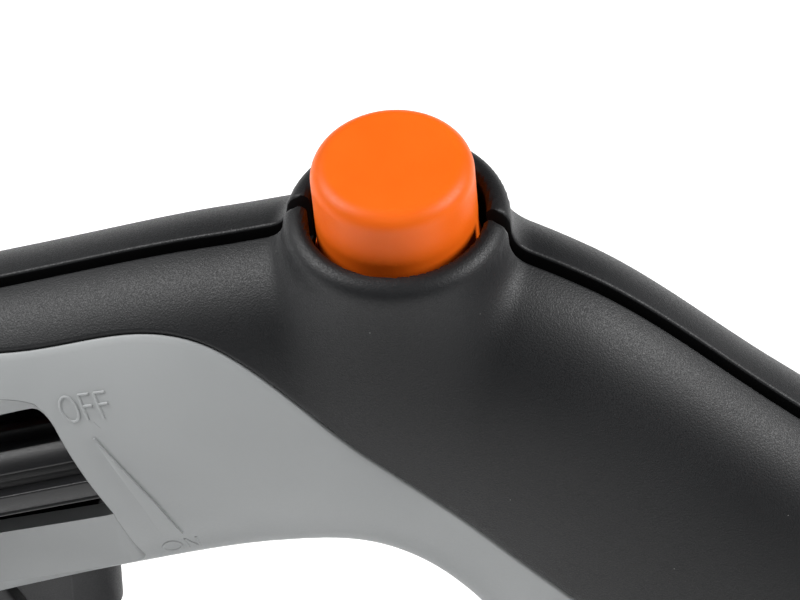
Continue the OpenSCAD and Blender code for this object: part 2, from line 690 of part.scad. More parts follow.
module guide_bar() color([0.65, 0.66, 0.68]) difference() {
    slab(case_x1 - 13, blade_x1 - 8, blade_half - 1.5, guide_z, guide_z + guide_t, 5);
    for (x = bolt_x) translate([x, 0, guide_z - 1]) cylinder(r = 3.05, h = guide_t + 2);
    translate([blade_x1 - 20, 0, guide_z - 1]) cylinder(r = 2.05, h = guide_t + 2);
}

module blade_bolts() color([0.5, 0.51, 0.53]) for (x = bolt_x) translate([x, 0, 0]) {
    translate([0, 0, blade_z - 3.6]) cylinder(r = 6, h = 3.2);
    translate([0, 0, blade_z - 1]) cylinder(r = 3, h = guide_z + guide_t - blade_z + 4);
    translate([0, 0, guide_z + guide_t + 0.02]) cylinder(r = 5, h = 3, $fn = 6);
}

case_screw_at = [for (x = [case_x0 + 9, case_x1 - 9], y = [-case_half + 6, case_half - 6]) [x, y]];
module gear_case() color([0.5, 0.51, 0.52]) difference() {
    union() {
        difference() {
            union() {
                slab(case_x0, case_x1, case_half, case_z, case_top, 6);
                translate([motor_x, 0, case_top - 1]) cylinder(r = 13, h = 2.4);
            }
            // gear room and blade room
            slab(case_x0 + 4, case_x1 - 4, case_half - 4, case_z - 1, 50.4, 4);
            span([case_x1 - 6, -blade_half - 7.5, case_z - 1],
                [case_x1 + 1, blade_half + 7.5, 34.6]);
        }
        // posts for the screws, and a lug the guide bar is held against
        for (p = case_screw_at) translate([p[0], p[1], case_z]) cylinder(r = 4.6, h = 28);
        span([case_x1 - 13.5, -9, guide_z + guide_t], [case_x1 - 3, 9, 52]);
    }
    translate([crank_x, 0, 49]) cylinder(r = 7.03, h = 8);
    translate([motor_x, 0, 49]) cylinder(r = 9.2, h = 16);
    for (p = case_screw_at) translate([p[0], p[1], case_z - 1]) cylinder(r = 1.8, h = 22);
    for (y = [-22, 22]) translate([case_x1 - 5, y, 48]) rotate([0, 90, 0])
        cylinder(r = 2.25, h = 8);
}

module base_plate() color([0.2, 0.2, 0.21]) difference() {
    union() {
        slab(case_x0, case_x1, case_half, 15, case_z - 0.2, 6);
        for (s = [-1, 1]) slab2(case_x0 + 6, case_x1 - 6, s * (case_half - 7), 5, 0, 15.1, 4);
    }
    translate([crank_x, 0, 17.2]) cylinder(r = 7.03, h = 8);
    for (p = case_screw_at) translate([p[0], p[1], -1]) {
        cylinder(r = 2.1, h = 30);
        cylinder(r = 4.2, h = 14);
    }
}

// slab like slab(), centred on y
module slab2(x0, x1, y, half, z0, z1, r) translate([0, y, 0]) slab(x0, x1, half, z0, z1, r);

module case_screws() color([0.6, 0.61, 0.63])
    for (p = case_screw_at) translate([p[0], p[1], 0]) {
        translate([0, 0, 9.8]) cylinder(r = 3.6, h = 3.2);
        translate([0, 0, 12.9]) cylinder(r = 1.75, h = 28);
    }

// ---------- front handle, guard and tip ----------

guard_x = case_x1 + 1;
module hand_guard() color([0.14, 0.14, 0.15]) difference() {
    union() {
        translate([guard_x, 0, 0]) rotate([90, 0, 90]) linear_extrude(height = 3.4)
            difference() {
                union() {
                    translate([0, 96]) circle(r = 88, $fn = 96);
                    translate([-52, 36]) square([104, 40]);
                }
                translate([-100, -20]) square([200, 56]);
                translate([-130, 34]) rotate(38) square([60, 130], center = true);
                translate([130, 34]) rotate(-38) square([60, 130], center = true);
            }
        span([guard_x, -case_half, 38], [guard_x + 8, case_half, 58]);
    }
    for (y = [-22, 22]) translate([guard_x - 1, y, 48]) rotate([0, 90, 0]) {
        cylinder(r = 2.3, h = 12);
        translate([0, 0, 5.8]) cylinder(r = 4.6, h = 6);
    }
    for (i = [-3:3]) translate([guard_x - 1, i * 18 - 3.5, 92 - abs(i) * 3])
        cube([6, 7, 62 - abs(i) * 7]);
}

module guard_screws() color([0.6, 0.61, 0.63])
    for (y = [-22, 22]) translate([guard_x - 5, y, 48]) rotate([0, 90, 0]) {
        cylinder(r = 2.2, h = 11);
        translate([0, 0, 9.9]) cylinder(r = 4.2, h = 2.6);
    }

bend = 32;
module at_bail() translate([bail_x, 0, bail_z]) rotate([0, -bail_lean, 0]) children();
module bail_corner(r, a) rotate([0, 90, 0]) rotate([0, 0, a]) rotate_extrude(angle = 90)
    translate([bend, 0]) circle(r = r);

module bail_handle() color([0.1, 0.1, 0.11]) at_bail() difference() {
    union() {
        for (s = [-1, 1]) {
            y0 = bw + 0.6;
            y1 = bail_width / 2 - bend;
            translate([0, s > 0 ? y0 : -y1, 0]) rotate([-90, 0, 0]) cylinder(r = bail_d / 2, h = y1 - y0);
            translate([0, s * bail_width / 2, bend]) cylinder(r = bail_d / 2, h = bail_height - 2 * bend);
            translate([0, s * (bail_width / 2 - bend), bend]) bail_corner(bail_d / 2, s > 0 ? 0 : -90);
            translate([0, s * (bail_width / 2 - bend), bail_height - bend])
                bail_corner(bail_d / 2, s > 0 ? 90 : 180);
            // ears for the switch bar
            translate([-7, s * 50 - 2, bail_height - 27]) cube([14, 4, 20]);
        }
        translate([0, -(bail_width / 2 - bend), bail_height]) rotate([-90, 0, 0])
            cylinder(r = bail_d / 2, h = bail_width - 2 * bend);
    }
    for (s = [-1, 1]) translate([0, s * (bw - 4), 0]) rotate([s > 0 ? -90 : 90, 0, 0])
        cylinder(r = 3.1, h = 40);
    translate([-3, -60, bail_height - 21]) rotate([-90, 0, 0]) cylinder(r = 2.02, h = 120);
}

module bail_grip() color([0.17, 0.17, 0.18]) at_bail() difference() {
    translate([0, -44, bail_height]) rotate([-90, 0, 0]) cylinder(r = bail_d / 2 + 2.4, h = 88);
    translate([0, -45, bail_height]) rotate([-90, 0, 0]) cylinder(r = bail_d / 2 + 0.03, h = 90);
    for (i = [0:9]) translate([0, -41 + i * 8.6, bail_height]) rotate([-90, 0, 0]) difference() {
        cylinder(r = bail_d / 2 + 4, h = 2.4);
        translate([0, 0, -1]) cylinder(r = bail_d / 2 + 1.4, h = 5);
    }
}

module bail_bolts() color([0.6, 0.61, 0.63]) at_bail() for (s = [-1, 1])
    translate([0, s * (bw - 4), 0]) rotate([s > 0 ? -90 : 90, 0, 0]) translate([0, 0, 0.2])
        cylinder(r = 3, h = 30);

module switch_bar() color([0.96, 0.45, 0.13]) at_bail() difference() {
    union() {
        translate([-9, -47, bail_height - 24.5]) cube([20, 94, 7]);
        translate([-3, -47, bail_height - 21]) rotate([-90, 0, 0]) cylinder(r = 4.4, h = 94);
    }
    translate([-3, -48, bail_height - 21]) rotate([-90, 0, 0]) cylinder(r = 2.08, h = 96);
}

module switch_bar_pin() color([0.75, 0.76, 0.78]) at_bail()
    translate([-3, -52.2, bail_height - 21]) rotate([-90, 0, 0]) cylinder(r = 2, h = 104.4);

module tip_guard() color([0.12, 0.12, 0.13]) difference() {
    slab(blade_x1 - 36, tip_x, blade_half + 4, blade_z - 6.5, guide_z + 6.2, 9);
    span([blade_x1 - 60, -blade_half - 1.2, blade_z - 0.6],
        [blade_x1 + throw + 1, blade_half + 1.2, guide_z + guide_t + 0.02]);
    span([blade_x1 - 60, -60, blade_z - 0.8], [blade_x1 - 10, 60, guide_z - 0.1]);
    translate([blade_x1 - 20, 0, guide_z + 1]) cylinder(r = 2.05, h = 8);
}

module tip_screw() color([0.6, 0.61, 0.63]) translate([blade_x1 - 20, 0, guide_z]) {
    cylinder(r = 2, h = 7);
    translate([0, 0, 6.22]) cylinder(r = 3.8, h = 2.6);
}

// ---------- draw ----------

housing_right();
housing_left();
grip_panel_right();
grip_panel_left();
lock_button();
lock_spring();
lock_switch();
speed_roller();
roller_shaft();
roller_sensor();
trigger();
trigger_pin();
trigger_spring();
main_switch();
control_board();
cable_harness();
housing_screws();
battery_foot();
foot_contacts();
battery_case();
battery_cells();
battery_contacts();
battery_latch();
latch_spring();
motor_can();
motor_rotor();
motor_fan();
pinion();
big_gear();
crank_shaft();
crank_bushes();
blade_upper();
blade_lower();
guide_bar();
blade_bolts();
gear_case();
base_plate();
case_screws();
hand_guard();
guard_screws();
bail_handle();
bail_grip();
bail_bolts();
switch_bar();
switch_bar_pin();
tip_guard();
tip_screw();
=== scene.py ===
# %% [markdown]
# A hedge trimmer with a closed rear handle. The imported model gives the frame: every piece
# below sits where the model says, and rides on the body it belongs to.

# %% Load the frame
import json
import math

import bmesh
import bpy
import numpy as np
from mathutils import Matrix, Vector


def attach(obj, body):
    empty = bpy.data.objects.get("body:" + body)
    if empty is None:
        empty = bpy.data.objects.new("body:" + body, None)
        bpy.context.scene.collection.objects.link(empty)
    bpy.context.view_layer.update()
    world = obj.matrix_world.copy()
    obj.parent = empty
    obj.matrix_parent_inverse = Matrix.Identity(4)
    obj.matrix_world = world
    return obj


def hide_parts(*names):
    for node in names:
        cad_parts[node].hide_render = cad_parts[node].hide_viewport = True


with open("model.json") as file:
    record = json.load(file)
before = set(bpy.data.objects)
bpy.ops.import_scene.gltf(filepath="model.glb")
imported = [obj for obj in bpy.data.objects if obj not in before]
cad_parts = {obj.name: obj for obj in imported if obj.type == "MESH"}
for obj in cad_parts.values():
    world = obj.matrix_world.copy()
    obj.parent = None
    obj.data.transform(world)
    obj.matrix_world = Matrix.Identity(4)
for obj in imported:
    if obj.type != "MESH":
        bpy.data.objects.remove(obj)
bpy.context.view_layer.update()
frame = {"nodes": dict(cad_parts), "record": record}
MM = 0.001

# %% [markdown]
# Small helpers come first. Operators act on what is selected, so each piece starts with
# nothing selected, and ends with its place inside its mesh.

# %% Helpers for selecting, naming and finishing


def select_only(*pieces):
    bpy.ops.object.select_all(action="DESELECT")
    for piece in pieces:
        piece.select_set(True)
    if pieces:
        bpy.context.view_layer.objects.active = pieces[0]


def take(name):
    piece = bpy.context.object
    piece.name = name
    piece.data.name = name
    bpy.ops.object.transform_apply(location=True, rotation=True, scale=True)
    return piece


def place(piece, matrix):
    piece.data.transform(matrix)
    piece.data.update()


def weld(piece, distance=0.004, outward=True):
    select_only(piece)
    bpy.ops.object.mode_set(mode="EDIT")
    bpy.ops.mesh.select_all(action="SELECT")
    bpy.ops.mesh.remove_doubles(threshold=distance * MM)
    bpy.ops.mesh.dissolve_degenerate(threshold=distance * MM)
    if outward:
        bpy.ops.mesh.normals_make_consistent(inside=False)
    bpy.ops.object.mode_set(mode="OBJECT")


def close_ends(piece):
    """Fills the open ends of a swept sheet and turns its faces outwards."""
    select_only(piece)
    bpy.ops.object.mode_set(mode="EDIT")
    bpy.ops.mesh.select_all(action="SELECT")
    bpy.ops.mesh.fill_holes(sides=0)
    bpy.ops.mesh.normals_make_consistent(inside=False)
    bpy.ops.object.mode_set(mode="OBJECT")


def apply_modifiers(piece):
    select_only(piece)
    for name in [m.name for m in piece.modifiers]:
        bpy.ops.object.modifier_apply(modifier=name)


def join(first, *others):
    select_only(first, *others)
    bpy.ops.object.join()
    return first


def finish(piece, material, slot, body, *nodes, angle=32):
    piece.data.materials.clear()
    piece.data.materials.append(material)
    select_only(piece)
    bpy.ops.object.shade_smooth_by_angle(angle=math.radians(angle))
    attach(piece, body)
    if nodes:
        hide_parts(*nodes)
    print(piece.name, len(piece.data.polygons), "faces")


def sheet(name, points, outward=True):
    """A flat grid whose points are moved to the given rows; rows that meet are welded."""
    rows, columns = points.shape[:2]
    select_only()
    bpy.ops.mesh.primitive_grid_add(x_subdivisions=columns - 1, y_subdivisions=rows - 1, size=1)
    piece = take(name)
    piece.data.vertices.foreach_set("co", (points.reshape(-1, 3) * MM).ravel())
    piece.data.update()
    weld(piece, outward=outward)
    return piece


def cut(piece, cutters, operation="DIFFERENCE"):
    for tool in cutters:
        step = piece.modifiers.new("cut", "BOOLEAN")
        step.operation = operation
        step.solver = "MANIFOLD"
        step.object = tool
    apply_modifiers(piece)
    for tool in cutters:
        bpy.data.objects.remove(tool)


def block(name, low, high, matrix=None):
    select_only()
    middle = [(a + b) / 2 * MM for a, b in zip(low, high)]
    bpy.ops.mesh.primitive_cube_add(size=1, location=middle,
                                    scale=[(b - a) * MM for a, b in zip(low, high)])
    piece = take(name)
    if matrix:
        place(piece, matrix)
    return piece


def rod(name, radius, start, end, sides=48, matrix=None):
    select_only()
    start, end = Vector(start) * MM, Vector(end) * MM
    turn = (end - start).to_track_quat("Z", "Y").to_euler()
    bpy.ops.mesh.primitive_cylinder_add(vertices=sides, radius=radius * MM,
                                        depth=(end - start).length,
                                        location=(start + end) / 2, rotation=turn)
    piece = take(name)
    if matrix:
        place(piece, matrix)
    return piece


def prism(name, outline, y0, y1, matrix=None):
    """A side outline in x and z, stood up from y0 to y1."""
    mesh = bpy.data.meshes.new(name)
    build = bmesh.new()
    face = build.faces.new([build.verts.new((x * MM, y0 * MM, z * MM)) for x, z in outline])
    far = bmesh.ops.extrude_face_region(build, geom=[face])
    bmesh.ops.translate(build, vec=(0, (y1 - y0) * MM, 0),
                        verts=[v for v in far["geom"] if isinstance(v, bmesh.types.BMVert)])
    bmesh.ops.recalc_face_normals(build, faces=build.faces)
    build.to_mesh(mesh)
    build.free()
    piece = bpy.data.objects.new(name, mesh)
    bpy.context.scene.collection.objects.link(piece)
    if matrix:
        place(piece, matrix)
    return piece


# %% [markdown]
# Finishes. Soft-touch shells have a fine sparkling grain, the grey panels are satin, and
# each metal gets its own roughness and marks. Patterns read object coordinates, in metres.

# %% Helpers for materials


class Finish:
    """A Principled material that is built up one layer at a time."""

    def __init__(self, name, colour, roughness, metallic=0.0, specular=0.5):
        self.material = bpy.data.materials.new(name)
        self.material.use_nodes = True
        self.nodes = self.material.node_tree.nodes
        self.links = self.material.node_tree.links
        self.shader = self.nodes["Principled BSDF"]
        self.shader.inputs["Base Color"].default_value = (*colour, 1)
        self.shader.inputs["Roughness"].default_value = roughness
        self.shader.inputs["Metallic"].default_value = metallic
        self.shader.inputs["Specular IOR Level"].default_value = specular
        self.where = self.nodes.new("ShaderNodeTexCoord").outputs["Object"]
        self.bump_end = None

    def noise(self, size, detail=3.0, stretch=(1, 1, 1)):
        """Noise with features about size millimetres across."""
        scaled = self.nodes.new("ShaderNodeMapping")
        scaled.inputs["Scale"].default_value = stretch
        self.links.new(self.where, scaled.inputs["Vector"])
        node = self.nodes.new("ShaderNodeTexNoise")
        node.inputs["Scale"].default_value = 1 / (size * MM)
        node.inputs["Detail"].default_value = detail
        self.links.new(scaled.outputs["Vector"], node.inputs["Vector"])
        return node.outputs["Fac"]

    def cells(self, size):
        node = self.nodes.new("ShaderNodeTexVoronoi")
        node.inputs["Scale"].default_value = 1 / (size * MM)
        self.links.new(self.where, node.inputs["Vector"])
        return node

    def range(self, value, low, high, to_low, to_high):
        node = self.nodes.new("ShaderNodeMapRange")
        for socket, number in zip(("From Min", "From Max", "To Min", "To Max"),
                                  (low, high, to_low, to_high)):
            node.inputs[socket].default_value = number
        self.links.new(value, node.inputs["Value"])
        return node.outputs["Result"]

    def colours(self, value, *stops):
        ramp = self.nodes.new("ShaderNodeValToRGB")
        band = ramp.color_ramp
        band.elements[0].position, band.elements[1].position = stops[0][0], stops[-1][0]
        band.elements[0].color, band.elements[1].color = (*stops[0][1], 1), (*stops[-1][1], 1)
        for position, colour in stops[1:-1]:
            band.elements.new(position).color = (*colour, 1)
        self.links.new(value, ramp.inputs["Fac"])
        return ramp.outputs["Color"]

    def mix(self, share, below, above):
        node = self.nodes.new("ShaderNodeMix")
        node.data_type = "RGBA"
        self.links.new(share, node.inputs["Factor"])
        for socket, value in ((node.inputs[6], below), (node.inputs[7], above)):
            if isinstance(value, tuple):
                socket.default_value = (*value, 1)
            else:
                self.links.new(value, socket)
        return node.outputs[2]

    def paint(self, colour):
        self.links.new(colour, self.shader.inputs["Base Color"])

    def rough(self, value):
        self.links.new(value, self.shader.inputs["Roughness"])

    def bump(self, height, depth, strength=1.0):
        """Adds relief about depth millimetres high."""
        node = self.nodes.new("ShaderNodeBump")
        node.inputs["Distance"].default_value = depth * MM
        node.inputs["Strength"].default_value = strength
        self.links.new(height, node.inputs["Height"])
        if self.bump_end:
            self.links.new(self.bump_end, node.inputs["Normal"])
        self.bump_end = node.outputs["Normal"]
        self.links.new(self.bump_end, self.shader.inputs["Normal"])


# %% Plastics and rubbers


def grained_plastic(name, colour, roughness, grain, depth, specular=0.5):
    made = Finish(name, colour, roughness, specular=specular)
    fine = made.noise(grain, 4)
    broad = made.noise(18, 2)
    darker = tuple(c * 0.82 for c in colour)
    lighter = tuple(min(1, c * 1.2) for c in colour)
    tint = made.colours(broad, (0.3, darker), (0.7, lighter))
    made.paint(tint)
    made.rough(made.range(fine, 0.3, 0.7, roughness - 0.1, roughness + 0.1))
    made.bump(fine, depth)
    return made.material


def soft_touch():
    made = Finish("soft_touch_black", (0.01, 0.0105, 0.0115), 0.5, specular=0.29)
    pebbles = made.cells(0.26)
    grain = made.noise(0.17, 3)
    broad = made.noise(26, 2)
    tint = made.colours(broad, (0.3, (0.008, 0.0085, 0.0095)), (0.7, (0.0115, 0.012, 0.013)))
    specks = made.cells(4.3)
    near = made.range(specks.outputs["Distance"], 0.0, 0.024, 0.75, 0.0)
    tint = made.mix(near, tint, (0.3, 0.3, 0.29))
    made.paint(tint)
    made.rough(made.range(grain, 0.35, 0.65, 0.38, 0.6))
    made.bump(pebbles.outputs["Distance"], 0.03, 0.6)
    made.bump(grain, 0.035, 0.7)
    return made.material


def satin_grey():
    made = Finish("satin_grey", (0.34, 0.35, 0.355), 0.42, specular=0.4)
    broad = made.noise(24, 2)
    made.paint(made.colours(broad, (0.3, (0.325, 0.337, 0.34)), (0.7, (0.355, 0.367, 0.37))))
    fine = made.noise(0.35, 4)
    made.rough(made.range(fine, 0.3, 0.7, 0.38, 0.5))
    made.bump(fine, 0.012)
    return made.material


def orange_plastic():
    made = Finish("orange_plastic", (0.75, 0.118, 0.006), 0.45, specular=0.2)
    broad = made.noise(9, 2)
    made.paint(made.colours(broad, (0.3, (0.73, 0.112, 0.005)), (0.7, (0.77, 0.124, 0.007))))
    fine = made.noise(0.3, 4)
    made.rough(made.range(fine, 0.3, 0.7, 0.36, 0.48))
    made.bump(fine, 0.01)
    made.shader.inputs["Subsurface Weight"].default_value = 0.12
    made.shader.inputs["Subsurface Radius"].default_value = (1.0, 0.3, 0.1)
    made.shader.inputs["Subsurface Scale"].default_value = 0.002
    return made.material


black_soft = soft_touch()
# Painted shade: a darker, duller black than the soft coat, put on the seam walls and behind the
# window where shadow falls.
shade_painted_black = Finish("shade_painted_black", (0.004, 0.004, 0.0045), 0.75, specular=0.15).material
grey_satin = satin_grey()
orange = orange_plastic()
dark_moulded = grained_plastic("dark_moulded", (0.03, 0.031, 0.034), 0.52, 0.5, 0.05)
trigger_plastic = grained_plastic("trigger_plastic", (0.018, 0.0185, 0.02), 0.5, 0.25, 0.02,
                                  specular=0.3)
switch_plastic = grained_plastic("switch_plastic", (0.02, 0.02, 0.022), 0.45, 0.8, 0.02)
roller_plastic = grained_plastic("roller_plastic", (0.008, 0.008, 0.009), 0.4, 0.16, 0.012,
                                 specular=0.4)
grip_rubber = grained_plastic("grip_rubber", (0.022, 0.022, 0.024), 0.7, 0.4, 0.06)
cell_wrap = grained_plastic("cell_wrap", (0.02, 0.16, 0.33), 0.35, 2.0, 0.02)
cable_red = grained_plastic("cable_red", (0.5, 0.02, 0.015), 0.45, 0.9, 0.01)
board_green = grained_plastic("board_green", (0.01, 0.13, 0.05), 0.4, 1.5, 0.02)
print(len(bpy.data.materials), "finishes so far")

# %% Metals


def metal(name, colour, roughness, stretch=(1, 1, 1), size=0.5, depth=0.004):
    made = Finish(name, colour, roughness, metallic=1.0)
    lines = made.noise(size, 5, stretch)
    broad = made.noise(14, 3)
    made.paint(made.colours(broad, (0.3, tuple(c * 0.86 for c in colour)), (0.7, colour)))
    made.rough(made.range(lines, 0.25, 0.75, roughness - 0.08, roughness + 0.12))
    made.bump(lines, depth)
    return made.material


blade_steel = metal("blade_steel", (0.62, 0.63, 0.64), 0.3, (0.04, 1, 1), 0.35)
bar_steel = metal("bar_steel", (0.5, 0.51, 0.52), 0.38, (0.04, 1, 1), 0.4)
bright_steel = metal("bright_steel", (0.66, 0.67, 0.68), 0.28)
spring_steel = metal("spring_steel", (0.55, 0.56, 0.58), 0.3)
gear_steel = metal("gear_steel", (0.5, 0.51, 0.53), 0.34)
motor_steel = metal("motor_steel", (0.45, 0.46, 0.48), 0.4, (1, 1, 0.05))
motor_copper = metal("motor_copper", (0.8, 0.36, 0.17), 0.35)
contact_brass = metal("contact_brass", (0.8, 0.56, 0.2), 0.32)
bush_bronze = metal("bush_bronze", (0.66, 0.42, 0.18), 0.4)
cast_aluminium = metal("cast_aluminium", (0.5, 0.51, 0.52), 0.5, size=0.9, depth=0.05)
FINISH_OF = {
    "black_shell": black_soft, "grey_panel": grey_satin, "orange_plastic": orange,
    "spring_steel": spring_steel, "switch_plastic": switch_plastic,
    "roller_black": roller_plastic, "bright_steel": bright_steel, "board_green": board_green,
    "trigger_grey": trigger_plastic, "cable_red": cable_red, "dark_plastic": dark_moulded,
    "contact_brass": contact_brass, "cell_wrap": cell_wrap, "motor_steel": motor_steel,
    "motor_copper": motor_copper, "gear_steel": gear_steel, "bush_bronze": bush_bronze,
    "blade_steel": blade_steel, "bar_steel": bar_steel, "case_aluminium": cast_aluminium,
    "grip_rubber": grip_rubber,
}
slots = {part["node"]: part["material_slot"] for part in frame["record"]["subparts"]}
print(len(FINISH_OF), "finishes for", len(slots), "nodes")

# %% [markdown]
# The camera is close to the handle's top, above and in front of its right side. It comes
# early, because the finishes are judged through it.

# %% Camera
BUTTON_TOP = Vector((-0.305, 0, 0.203))
CAMERA_AWAY = 0.5354
AIM_RIGHT, AIM_BELOW = 0.00108427, 0.01674605
azimuth, elevation = math.radians(9.4), math.radians(46.8)
back = Vector((math.sin(azimuth) * math.cos(elevation),
               -math.cos(azimuth) * math.cos(elevation), math.sin(elevation)))
right = Vector((math.cos(azimuth), math.sin(azimuth), 0))
up = back.cross(right)
look = (-back * CAMERA_AWAY + right * AIM_RIGHT - up * AIM_BELOW).normalized()
side = look.cross(up).normalized()
rise = side.cross(look)
turn = Matrix((side, rise, -look)).transposed()
bpy.ops.object.camera_add(location=BUTTON_TOP + back * CAMERA_AWAY, rotation=turn.to_euler())
camera = bpy.context.object
camera.data.lens = 200
camera.data.sensor_width = 36
camera.data.clip_start = 0.01
bpy.context.scene.camera = camera
print("camera", camera.location)

# %% [markdown]
# The shells are one closed ring of sections: up the grip, over the button, down the neck
# and round the body. Each section is a rounded oval between an outer and an inner point.
# A formula gives every point, so both halves and both panels share one surface.

# %% The ring of sections
BX, BZ = -305.0, 203.0
LEAN = math.radians(4.1)
GRIP = 17.5
BODY = 37.0
RING = np.array([
    [BX - 135, BZ - 72, BX - 81, BZ - 102, GRIP + 4.5, 2.5],
    [BX - 107, BZ - 60, BX - 72, BZ - 98, GRIP + 1.1, 2.3],
    [BX - 77, BZ - 44, BX - 52, BZ - 87, GRIP, 2.2],
    [BX - 47.7, BZ - 29.8, BX - 30, BZ - 75.5, GRIP, 2.1],
    [BX - 23, BZ - 18.4, BX - 12, BZ - 67.5, GRIP, 2.1],
    [BX, BZ - 11, BX + 1, BZ - 66, GRIP, 2.1],
    [BX + 25, BZ - 17.5, BX + 11, BZ - 73.5, GRIP, 2.1],
    [BX + 50, BZ - 35.4, BX + 21, BZ - 90, GRIP + 0.5, 2.2],
    [BX + 75, BZ - 53.7, BX + 33, BZ - 109, GRIP + 2.5, 2.4],
    [BX + 100, BZ - 66.8, BX + 45, BZ - 125.5, GRIP + 6.5, 2.6],
    [-170, 129, -252, 70, BODY - 7, 2.8],
    [-125, 124, -249, 64, BODY - 1, 3],
    [-84, 110, -248, 60, BODY, 3],
    [-64, 84, -248, 58, BODY - 1, 3],
    [-70, 62, -249, 56, BODY - 3, 3],
    [-110, 58, -252, 54, BODY - 7, 2.8],
    [-150, 50, -258, 52, BODY - 12, 2.6],
    [-185, 35, -268, 51.5, BODY - 17, 2.4],
    [-230, 29, -283, 52, 16.5, 2.3],
    [-290, 28, -310, 54, 15, 2.2],
    [-340, 34, -345, 61, 16, 2.3],
    [-370, 45, -368, 71, 20, 2.5],
    [-392, 53.5, -382, 79, 27, 2.8],
    [-436, 54, -389, 84, 35, 3],
    [-474, 57, -393, 88, 36, 3],
    [-478, 84, -394, 92, 32, 3],
    [-465, 112, -392, 97, 27, 2.8],
])
# share of each section that stays black above the grey panel
EDGE = np.array([0.5, 0.16, 0.045, 0.07, 0.12, 0.45, 0.58, 0.555, 0.625, 0.8, 0.93])
PANEL_FROM, PANEL_TO = 1.0, 9.0
WALL, SEAM, PANEL, BED = 3.6, 0.9, 2.2, 2.5


def blend_rows(rows, t, closed):
    """Smooth curve through rows at the parameter t."""
    i = np.floor(t).astype(int)
    f = (t - i)[:, None]
    pick = (lambda k: rows[k % len(rows)]) if closed else (
        lambda k: rows[np.clip(k, 0, len(rows) - 1)])
    a, b, c, d = (pick(i + k) for k in (-1, 0, 1, 2))
    return 0.5 * (2 * b + (c - a) * f + (2 * a - 5 * b + 4 * c - d) * f ** 2
                  + (3 * b - a - 3 * c + d) * f ** 3)


def spow(value, power):
    return np.sign(value) * np.abs(value) ** power


def ring_point(s, angle, off):
    """Point of section s at an angle from its inner end, -90, to its outer end, 90."""
    angle = np.radians(angle)
    middle, half = (s[:2] + s[2:4]) / 2, (s[:2] - s[2:4]) / 2
    length = np.hypot(*half)
    power = 2 / s[5]
    along = spow(np.sin(angle), power) * (length - off) / length
    across = np.abs(np.cos(angle)) ** power * (s[4] - off)
    return np.stack([middle[0] + half[0] * along, across, middle[1] + half[1] * along], -1)


def edge_share(t):
    share = max(0.03, blend_rows(EDGE[:, None], np.array([t]), False)[0, 0])
    for end, sign in ((PANEL_FROM, 1), (PANEL_TO, -1)):
        near = sign * (t - end) / 0.35
        if near < 0:
            return 1.0
        if near < 1:
            share = 1 - (1 - share) * math.sqrt(1 - (1 - near) ** 2)
    return share


def edge_angle(s, t):
    value = 1 - 2 * edge_share(t)
    return math.degrees(math.asin(np.clip(spow(value, s[5] / 2), -1, 1)))


def ring_steps():
    fine = np.concatenate([np.arange(3.2, 4.2, 1 / 24), np.arange(4.2, 5.7, 1 / 52),
                           np.arange(5.7, 6.8, 1 / 24)])
    handle = np.concatenate([np.arange(0.5, 3.2, 1 / 14), fine, np.arange(6.8, 9.6, 1 / 14)])
    ends = np.concatenate([PANEL_FROM + 0.35 * (1 - np.cos(np.linspace(0, 1.57, 9))),
                           PANEL_TO - 0.35 * (1 - np.cos(np.linspace(0, 1.57, 9)))])
    rest = np.arange(9.6, 27.5, 1 / 8)
    t = np.unique(np.round(np.concatenate([handle, ends, rest]), 4))
    return t[t < 27.5 - 1e-6]


print(len(ring_steps()), "sections")

# %% [markdown]
# The collar round the button grows out of the shell with a hollow fillet. Each point of
# the outer skin is pushed out along its own ray until it meets a smooth union of the oval
# and a round-edged cylinder, as a modeller would blend two clay shapes with a thumb.

# %% Collar blend
BORE, COLLAR, COLLAR_TOP, RIM, LIP = 11.0, 14.0, -8.2, 2.4, 0.9
UP_AXIS = np.array([-math.sin(LEAN), 0, math.cos(LEAN)])
SIDE_AXIS = np.array([math.cos(LEAN), 0, math.sin(LEAN)])


def button_polar(p):
    """Distance from the button's axis, share of it that is sideways, and height."""
    q = p - np.array([BX, 0, BZ])
    along, height = q @ SIDE_AXIS, q @ UP_AXIS
    radius = np.hypot(along, q[..., 1])
    return radius, np.abs(q[..., 1]) / np.maximum(radius, 1e-6), height


def collar_gap(p):
    radius, sideways, height = button_polar(p)
    a, b = radius - (COLLAR - RIM), height - (COLLAR_TOP - RIM)
    gap = np.hypot(np.maximum(a, 0), np.maximum(b, 0)) + np.minimum(np.maximum(a, b), 0) - RIM
    return gap, 2.6 + 4.2 * sideways ** 2


def raise_collar(s, points):
    middle = np.array([(s[0] + s[2]) / 2, 0, (s[1] + s[3]) / 2])
    rays = points - middle
    reach = np.linalg.norm(rays, axis=1)
    rays = rays / reach[:, None]
    low, high = reach.copy(), reach + 16.0
    for _ in range(26):
        test = (low + high) / 2
        gap, soft = collar_gap(middle + rays * test[:, None])
        body = (test - reach) * 0.9
        mixed = np.maximum(soft - np.abs(body - gap), 0) / soft
        inside = np.minimum(body, gap) - mixed ** 2 * soft / 4 < 0
        low, high = np.where(inside, test, low), np.where(inside, high, test)
    return middle + rays * low[:, None]


def round_bore(piece):
    """Sets the collar's inner rim to its exact rounded profile once the bore is cut."""
    points = np.array([v.co for v in piece.data.vertices]) / MM
    radius, _, height = button_polar(points)
    rim = (radius > BORE - 0.1) & (radius < COLLAR - RIM + 0.7) & (height > -9.6)
    outer = np.clip(radius - (COLLAR - RIM), 0, RIM)
    lip = np.clip(BORE + LIP - radius, 0, LIP)
    target = (COLLAR_TOP - RIM + np.sqrt(RIM ** 2 - outer ** 2)
              - LIP + np.sqrt(LIP ** 2 - lip ** 2))
    points[rim] += UP_AXIS * (target - height)[rim][:, None]
    piece.data.vertices.foreach_set("co", (points * MM).ravel())
    piece.data.update()


# %% [markdown]
# One half of the shell is a closed outline swept round the ring: the seam's lip and wall,
# the skin, the bed that the panel lies in, and the inner wall.

